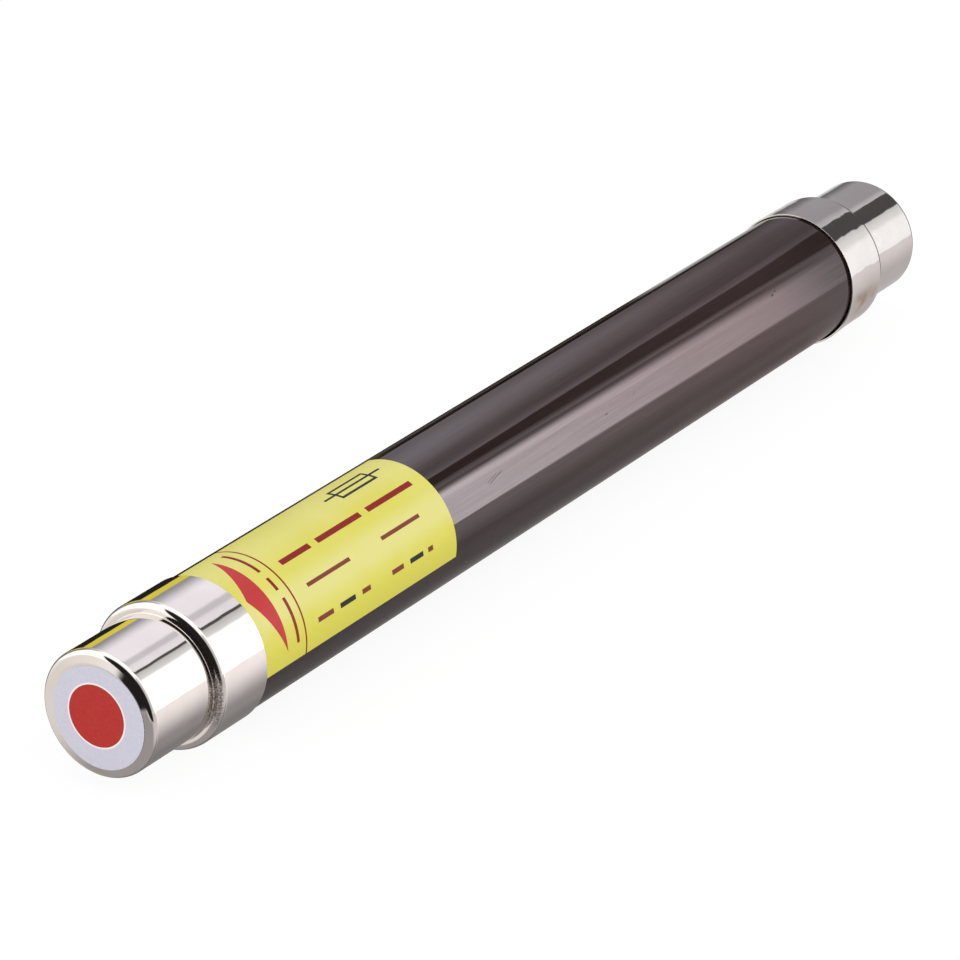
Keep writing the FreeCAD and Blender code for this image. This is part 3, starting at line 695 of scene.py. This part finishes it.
def roundLabel(name, node, body, inside, outside, offCentre=(0, 0, 0)):
    low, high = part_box(node)
    outline = [(high.x, inside), (low.x, inside), (low.x, outside), (high.x, outside)]
    mesh = turnedMesh(outline, strikerLabel["steps"])
    edge = [v for v in mesh.verts if math.hypot(v.co.y, v.co.z) > (inside + outside) / 2]
    bmesh.ops.translate(mesh, verts=edge, vec=offCentre)
    addPiece(name, mesh, body, labelFilm, [node])


labelFilm = labelPaper()
roundLabel(
    "endLabel", "end_label", "fuse_body",
    strikerLabel["punchRadius"] + strikerLabel["slit"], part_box("end_label")[1].y,
    strikerLabel["offCentre"],
)
roundLabel(
    "endLabelCentre", "end_label_centre", "striker", 0, strikerLabel["punchRadius"]
)
print("striker label made")


# Finishes of the pieces inside. Colours run from the first to the second in grains of the given
# size in mm, roughness runs from low to high, and depth is how high the grains stand in mm.

innerFinishes = {
    # Cold-drawn copper: warm, satin, with faint lines of the press tool
    "Drawn copper sheet": {
        "nodes": ["striker_end_contact_plate", "blind_end_contact_plate"],
        "metallic": 1, "colours": ("#DD9E80", "#C98868"), "roughness": (0.2, 0.34),
        "grain": 1.5, "stretch": 1, "depth": 0.004,
    },
    # Brass turned on a lathe: yellow, satin, with fine rings
    "Turned brass": {
        "nodes": ["sand_fill_plug", "wire_ferrule", "housing_rivets"],
        "metallic": 1, "colours": ("#E2CD9C", "#CDB479"), "roughness": (0.18, 0.3),
        "grain": 0.3, "stretch": 0.3, "depth": 0.003,
    },
    # Fired, unglazed white ceramic: chalky, with a fine sugary grain
    "Unglazed white ceramic": {
        "nodes": ["winding_core"],
        "metallic": 0, "colours": ("#E6E2D8", "#D9D3C6"), "roughness": (0.75, 0.9),
        "grain": 0.6, "stretch": 1, "depth": 0.02,
    },
    # Rolled silver strip: white metal with a soft sheen along the strip
    "Rolled silver strip": {
        "nodes": ["fuse_element_1", "fuse_element_2", "fuse_element_3"],
        "metallic": 1, "colours": ("#F1F0EC", "#DDDCD6"), "roughness": (0.16, 0.28),
        "grain": 0.5, "stretch": 6, "depth": 0.002,
    },
    # Solder left as it froze: grey, slightly frosted drops
    "Frozen tin solder": {
        "nodes": ["solder_beads"],
        "metallic": 1, "colours": ("#C9C9C6", "#AEAEAA"), "roughness": (0.28, 0.45),
        "grain": 0.4, "stretch": 1, "depth": 0.01,
    },
    # Washed quartz sand, packed: pale grains 0.4 mm across, drawn twice as coarse to show
    "Packed quartz sand": {
        "nodes": ["quartz_sand"],
        "metallic": 0, "colours": ("#EBE0CC", "#BFAF94"), "roughness": (0.6, 0.95),
        "grain": 0.8, "stretch": 1, "depth": 0.25,
    },
    # Zinc-plated steel sheet: blue-grey, softly mottled
    "Zinc plated steel": {
        "nodes": ["striker_housing"],
        "metallic": 1, "colours": ("#C3C6CA", "#AEB2B8"), "roughness": (0.25, 0.4),
        "grain": 3, "stretch": 1, "depth": 0.003,
    },
    # Oiled spring wire: dark, smooth, with lines of the drawing die
    "Drawn spring steel": {
        "nodes": ["striker_spring"],
        "metallic": 1, "colours": ("#8B8B8E", "#6E6E73"), "roughness": (0.22, 0.36),
        "grain": 0.3, "stretch": 1, "depth": 0.002,
    },
    # Resistance alloy wire: grey-brown, dull from annealing
    "Drawn resistance wire": {
        "nodes": ["striker_wire"],
        "metallic": 1, "colours": ("#B2AEA6", "#98938A"), "roughness": (0.3, 0.45),
        "grain": 0.2, "stretch": 10, "depth": 0.001,
    },
    # Vulcanised fibre: red-brown board with short felted fibres
    "Pressed fibre": {
        "nodes": ["wire_bush"],
        "metallic": 0, "colours": ("#A87458", "#8F5C42"), "roughness": (0.6, 0.8),
        "grain": 0.3, "stretch": 4, "depth": 0.01,
    },
    # Moulded rubber, dusted with talc: black, matt, with pale dust
    "Moulded seal rubber": {
        "nodes": ["striker_end_gasket", "blind_end_gasket"],
        "metallic": 0, "colours": ("#242424", "#3A3A3A"), "roughness": (0.7, 0.9),
        "grain": 0.8, "stretch": 1, "depth": 0.01,
    },
}


def innerFinish(name, look):
    material, tree, add, shader, place = newMaterial(name)
    grain = mottled(add, place, look["grain"], stretch=look["stretch"])
    first, second = look["colours"]
    colour = add(
        "ShaderNodeMix", {0: grain, 6: linear(first), 7: linear(second)}, 2, data_type="RGBA"
    )
    low, high = look["roughness"]
    roughness = add("ShaderNodeMapRange", {"Value": grain, "To Min": low, "To Max": high})
    standing = add(
        "ShaderNodeBump", {"Height": grain, "Distance": look["depth"] * mm, "Strength": 1}
    )
    shader.inputs["Metallic"].default_value = look["metallic"]
    tree.links.new(colour, shader.inputs["Base Color"])
    tree.links.new(roughness, shader.inputs["Roughness"])
    tree.links.new(standing, shader.inputs["Normal"])
    return material


for finish, finishLook in innerFinishes.items():
    material = innerFinish(finish, finishLook)
    for node in finishLook["nodes"]:
        nodes[node].material_slots[0].link = "OBJECT"
        nodes[node].material_slots[0].material = material
print("inner finishes set:", len(innerFinishes))


# Striker pin, seen once it has struck out through the cap

pin = {
    "radius": 5 * mm,
    "bore": 4 * mm,
    "head": 2 * mm,
    "collarLength": 3 * mm,
    "headRound": 0.3 * mm,
    "collarRound": 0.4 * mm,
    "steps": 96,
    # Steel ground between wheels: bright grey with very fine rings round the pin
    "metallic": 1, "colours": ("#DADBDD", "#C2C4C7"), "roughness": (0.16, 0.28),
    "grain": 0.25, "stretch": 0.15, "depth": 0.001,
}


def strikerPin():
    low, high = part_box("striker_pin")
    front, rear, collar = low.x, high.x, high.y
    headInside = front + pin["head"]
    collarFront = rear - pin["collarLength"]
    outline = [
        (rear, pin["bore"]),
        (headInside, pin["bore"]),
        (headInside, 0),
        (front, 0),
        (front, pin["radius"]),
        (collarFront, pin["radius"]),
        (collarFront, collar),
        (rear, collar),
    ]
    rounds = {4: pin["headRound"], 6: pin["collarRound"], 7: pin["collarRound"]}
    mesh = turnedMesh(outline, pin["steps"], rounds)
    steel = innerFinish("Ground steel", pin)
    addPiece("strikerPin", mesh, "striker", steel, ["striker_pin"])


strikerPin()
print("striker pin made")


# Floor, light and what bright metal sees round it

studio = {
    "floorSize": 6,
    "floorColour": "#EDEDED",
    "floorGlow": 0.925,
    "floorShare": 0.09,  # of the light and shadow on the floor, for the camera
    "skyLevel": 0.9,
    "sunLevel": 0.5,
    "sunSpread": 50,
    "sunFrom": (-0.1, -0.75, 0.65),
    "aheadFrom": (0.38, 0.46),  # how far along the fuse the room ahead of the camera starts
}


def paleFloor():
    # Matt white table; the camera sees it lifted to white, with the fuse's soft shadow on it
    mesh = bmesh.new()
    bmesh.ops.create_grid(mesh, x_segments=1, y_segments=1, size=studio["floorSize"] / 2)
    bmesh.ops.translate(mesh, verts=mesh.verts[:], vec=(0, 0, cadBox[0].z))
    material = bpy.data.materials.new("Matt white table")
    material.use_nodes = True
    tree = material.node_tree
    tree.nodes.remove(tree.nodes["Principled BSDF"])
    add = functools.partial(addNode, tree)
    table = add("ShaderNodeBsdfDiffuse", {"Color": linear(studio["floorColour"])})
    glow = add("ShaderNodeEmission", {"Color": (1, 1, 1, 1), "Strength": studio["floorGlow"]})
    thin = add("ShaderNodeBsdfDiffuse", {"Color": (studio["floorShare"],) * 3 + (1,)})
    lifted = add("ShaderNodeAddShader", {0: thin, 1: glow})
    toCamera = add("ShaderNodeLightPath", output="Is Camera Ray")
    chosen = add("ShaderNodeMixShader", {0: toCamera, 1: table, 2: lifted})
    tree.links.new(chosen, tree.nodes["Material Output"].inputs["Surface"])
    floor = newObject("floor", mesh, material)
    floor.visible_glossy = False  # the world holds the table that the metal mirrors


# What the bright surfaces mirror, as strips of light round the fuse. The angle of a direction
# counts round the fuse from straight up, towards the front, and its reach is how far it points
# along the fuse. Four zones of that reach are what the striker end's cap, the near and the far
# part of the tube, and the blind end's cap mirror, and each tuple below has a value for each zone.
# Going round, each strip covers the one before it from its start angle to its full angle.

zoneEdges = [(0.74, 0.76), (0.765, 0.811), (0.809, 0.817)]

roomTones = {
    "room": (1.0, 0.9, 0.9),
    "wall": (1.0, 0.985, 1.02),
    "card": (0.86, 0.74, 0.09),
    "gap": (1.0, 0.94, 1.0),
    "top": (1.0, 0.975, 1.05),
    "front": (1.0, 1.01, 1.03),
    "table": (1.0, 0.95, 0.96),
}

farTubeTint = (1.0, 0.85, 0.85)

roomStrips = [
    # Each is its tone, levels, start angles and full angles. First come the back wall, the dark
    # above it and a yellow card that only the striker end's cap mirrors.
    ("wall", (0.02, 0.02, 0.02, 0.84), (-140,) * 4, (-139,) * 4),
    ("room", (0.02, 0.12, 0.06, 0.14), (-134, -113, -108, -108), (-130, -107, -99, -98)),
    ("card", (1, 0.005, 0.01, 0.08), (-88, -97, -99, -104), (-85.5, -95, -97, -103)),
    # Panel overhead, which sags in its middle and ends in a lit edge
    ("top", (0.37, 0.42, 0.2, 0.18), (-72, -84.5, -87, -98), (-68, -82.5, -84.5, -90)),
    ("top", (1.15, 1.24, 0.45, 0.42), (-69, -80, -85, -90), (-33, -33, -53, -58)),
    ("top", (0.78, 0.72, 0.52, 0.42), (-6, -30, -30, -30), (1, -3, -20, -20)),
    ("top", (1.05, 1.05, 0.85, 0.58), (6, 2, -8, -14), (12, 7, -3, -5)),
    ("top", (1.08, 1.3, 1.12, 0.64), (14, 7.5, -1, -5), (15, 9, 2, -3)),
    # Gap between the panels
    ("gap", (0.1, 0.06, 0.32, 0.09), (22, 12, 5.3, 0), (23.5, 13, 6.8, 1.5)),
    # Blind of the front panel, then the panel
    ("front", (0.72, 0.56, 0.75, 0.8), (26.5, 24, 30, 32.5), (28.5, 26, 32, 35.5)),
    ("front", (0.9, 1.15, 1.5, 0.92), (28.5, 26, 32, 35.5), (37, 31, 37, 44)),
    ("front", (0.95, 0.78, 0.72, 0.95), (37, 32.5, 37, 44), (38, 34, 39, 45)),
    ("front", (2.2, 8, 4.1, 1.24), (38, 35.5, 39, 47), (46, 46, 61, 62)),
    ("front", (2.2, 6.4, 3.75, 1.24), (50, 48, 62, 84), (60, 55, 66, 86)),
    ("front", (1.9, 5.9, 3.45, 1.2), (60, 66, 75, 88), (96, 88, 92, 98)),
    # Table, bright before the fuse and dark under it
    ("table", (1.25, 1.48, 1.15, 0.9), (96, 94, 97, 102), (98.5, 96.5, 105, 104)),
    ("table", (0.34, 0.43, 0.56, 0.6), (99, 96, 102, 104), (160, 137, 148, 155)),
    ("table", (0.25, 0.29, 0.31, 0.57), (160, 140, 150, 155), (190, 175, 180, 180)),
]


def byZone(add, zones, values):
    # Takes each value in its zone and slides from one to the next between them
    result = values[0]
    for zone, before, after in zip(zones, values, values[1:]):
        if before != after:
            result = add(
                "ShaderNodeMath", {0: zone, 1: after - before, 2: result}, operation="MULTIPLY_ADD"
            )
    return result


def layered(add, seen, layers):
    # Lays each light over what is seen, where all of its edges are passed
    for light, edges in layers:
        seen = add(
            "ShaderNodeMix", {"Factor": allPassed(add, *edges), 4: seen, 5: light}, 1,
            data_type="VECTOR",
        )
    return seen


def aheadOfCamera(add, reach, angle):
    zones = [
        add("ShaderNodeMapRange", {"Value": reach, "From Min": start, "From Max": end})
        for start, end in zoneEdges
    ]
    angle = add("ShaderNodeMath", {0: angle, 1: 225, 2: -135}, operation="WRAP")
    seen = None
    for tone, levels, starts, fulls in roomStrips:
        light = add(
            "ShaderNodeVectorMath", {0: roomTones[tone], "Scale": byZone(add, zones, levels)},
            operation="SCALE",
        )
        if seen:
            covered = allPassed(
                add, (angle, byZone(add, zones, starts), byZone(add, zones, fulls))
            )
            light = add(
                "ShaderNodeMix", {"Factor": covered, 4: seen, 5: light}, 1, data_type="VECTOR"
            )
        seen = light
    # The far part of the tube mirrors pinker
    farTube = add("ShaderNodeMath", {0: zones[1], 1: zones[2]}, operation="SUBTRACT")
    tint = add(
        "ShaderNodeMix", {"Factor": farTube, 4: (1, 1, 1), 5: farTubeTint}, 1, data_type="VECTOR"
    )
    seen = add("ShaderNodeVectorMath", {0: seen, 1: tint}, operation="MULTIPLY")
    layers = (
        # Far wall, and the dark beyond it, which the edges that turn away mirror
        ((0.7, 0.69, 0.71), [(reach, 0.794, 0.8), (angle, -90, -105)]),
        ((0.1, 0.1, 0.1), [(reach, 0.9, 0.94)]),
    )
    return layered(add, seen, layers)


def behindCamera(add, x, y, z):
    # Table, lighter beside the camera, pale walls, and the dark room that holds the camera. The
    # edges are those of directions of length 1.
    tableLevel = 0.42
    underFuseShade = 0.5
    sillSlope = 0.35
    brighter = (
        (0.45, [(y, 0.55, 0.85)]),
        (0.4, [(y, -0.5, -0.85)]),
        (0.3, [(y, 0.55, 0.85), (z, -0.45, -0.08)]),
        (0.45, [(z, -0.36, -0.29), (y, -0.5, -0.2), (y, 0.4, 0.2)]),
    )
    level = tableLevel
    for more, edges in brighter:
        level = add(
            "ShaderNodeMath", {0: allPassed(add, *edges), 1: more, 2: level},
            operation="MULTIPLY_ADD",
        )
    underFuse = allPassed(add, (x, 0, 0.35), (z, -0.45, -0.7))
    shade = add(
        "ShaderNodeMath", {0: underFuse, 1: -underFuseShade, 2: 1}, operation="MULTIPLY_ADD"
    )
    level = add("ShaderNodeMath", {0: level, 1: shade}, operation="MULTIPLY")
    seen = add(
        "ShaderNodeVectorMath", {0: roomTones["table"], "Scale": level}, operation="SCALE"
    )
    # The lower edge of the dark room runs down towards the back
    toBack = add("ShaderNodeMath", {0: y, 1: 0}, operation="MAXIMUM")
    sill = add("ShaderNodeMath", {0: toBack, 1: sillSlope, 2: z}, operation="MULTIPLY_ADD")
    layers = (
        # Side wall
        ((0.98, 0.94, 0.91), [(z, -0.7, -0.5), (y, 0.3, 0.45)]),
        ((1.15, 1.11, 1.08), [(z, -0.3, -0.12), (y, 0.35, 0.45)]),
        # High walls and their corner
        ((1.6, 1.58, 1.56), [(z, -0.04, 0.02)]),
        ((0.8, 0.79, 0.8), [(z, -0.04, 0.02), (x, 0.15, 0), (y, -0.5, -0.6)]),
        # Dark room
        ((0.02, 0.018, 0.018), [(sill, -0.265, -0.235), (y, 0.42, 0.36), (x, -0.3, -0.58)]),
        # Back wall, with its shaded middle and foot
        ((0.62, 0.6, 0.58), [(x, 0, 0.2), (y, 0.4, 0.6)]),
        ((0.32, 0.31, 0.33), [(x, -0.05, 0.14), (y, 0.5, 0.7), (z, 0.75, 0.5), (z, 0, 0.08)]),
        ((0.05, 0.05, 0.05), [(x, 0.2, 0.34), (y, 0.45, 0.65), (z, 0.1, -0.1), (z, -0.4, -0.34)]),
    )
    return layered(add, seen, layers)


def studioWorld():
    world = bpy.data.worlds.new("Studio")
    world.use_nodes = True
    world.cycles.sampling_method = "NONE"  # what lights the pieces is an even sky
    bpy.context.scene.world = world
    tree = world.node_tree
    add = functools.partial(addNode, tree)
    direction = add("ShaderNodeTexCoord", output="Generated")
    x, y, z = add("ShaderNodeSeparateXYZ", {"Vector": direction}).node.outputs
    towardsFront = add("ShaderNodeMath", {0: y, 1: -1}, operation="MULTIPLY")
    turn = add("ShaderNodeMath", {0: towardsFront, 1: z}, operation="ARCTAN2")
    angle = add("ShaderNodeMath", {0: turn}, operation="DEGREES")
    mirrored = add("ShaderNodeMix", {
        "Factor": allPassed(add, (x, *studio["aheadFrom"])),
        4: behindCamera(add, x, y, z),
        5: aheadOfCamera(add, x, angle),
    }, 1, data_type="VECTOR")
    glossy = add("ShaderNodeLightPath", output="Is Glossy Ray")
    toCamera = add("ShaderNodeLightPath", output="Is Camera Ray")
    seen = add("ShaderNodeMix", {
        "Factor": glossy, 4: (studio["skyLevel"],) * 3, 5: mirrored,
    }, 1, data_type="VECTOR")
    seen = add(
        "ShaderNodeMix", {"Factor": toCamera, 4: seen, 5: (1, 1, 1)}, 1, data_type="VECTOR"
    )
    tree.links.new(seen, tree.nodes["Background"].inputs["Color"])


def softSun():
    light = bpy.data.lights.new("softSun", "SUN")
    light.energy = studio["sunLevel"]
    light.angle = math.radians(studio["sunSpread"])
    lamp = bpy.data.objects.new("softSun", light)
    lamp.rotation_mode = "QUATERNION"
    lamp.rotation_quaternion = Vector(studio["sunFrom"]).to_track_quat("Z", "Y")
    lamp.visible_glossy = False
    bpy.context.scene.collection.objects.link(lamp)


paleFloor()
studioWorld()
softSun()
print("studio made")


# Camera

cameraPlace = {
    "location": (-1.43739, -0.90952, 0.74260),
    "aim": (-0.05472, -0.01763, 0.01269),
    "lens": 194.334,
    "sensor": 36,
    "nearest": 0.05,
    "farthest": 50,
}


def photoCamera():
    data = bpy.data.cameras.new("photoCamera")
    data.lens = cameraPlace["lens"]
    data.sensor_width = cameraPlace["sensor"]
    data.clip_start = cameraPlace["nearest"]
    data.clip_end = cameraPlace["farthest"]
    camera = bpy.data.objects.new("photoCamera", data)
    camera.location = cameraPlace["location"]
    ahead = Vector(cameraPlace["aim"]) - camera.location
    camera.rotation_mode = "QUATERNION"
    camera.rotation_quaternion = ahead.to_track_quat("-Z", "Y")
    bpy.context.scene.collection.objects.link(camera)
    bpy.context.scene.camera = camera


photoCamera()
bpy.context.scene.view_settings.view_transform = "Standard"
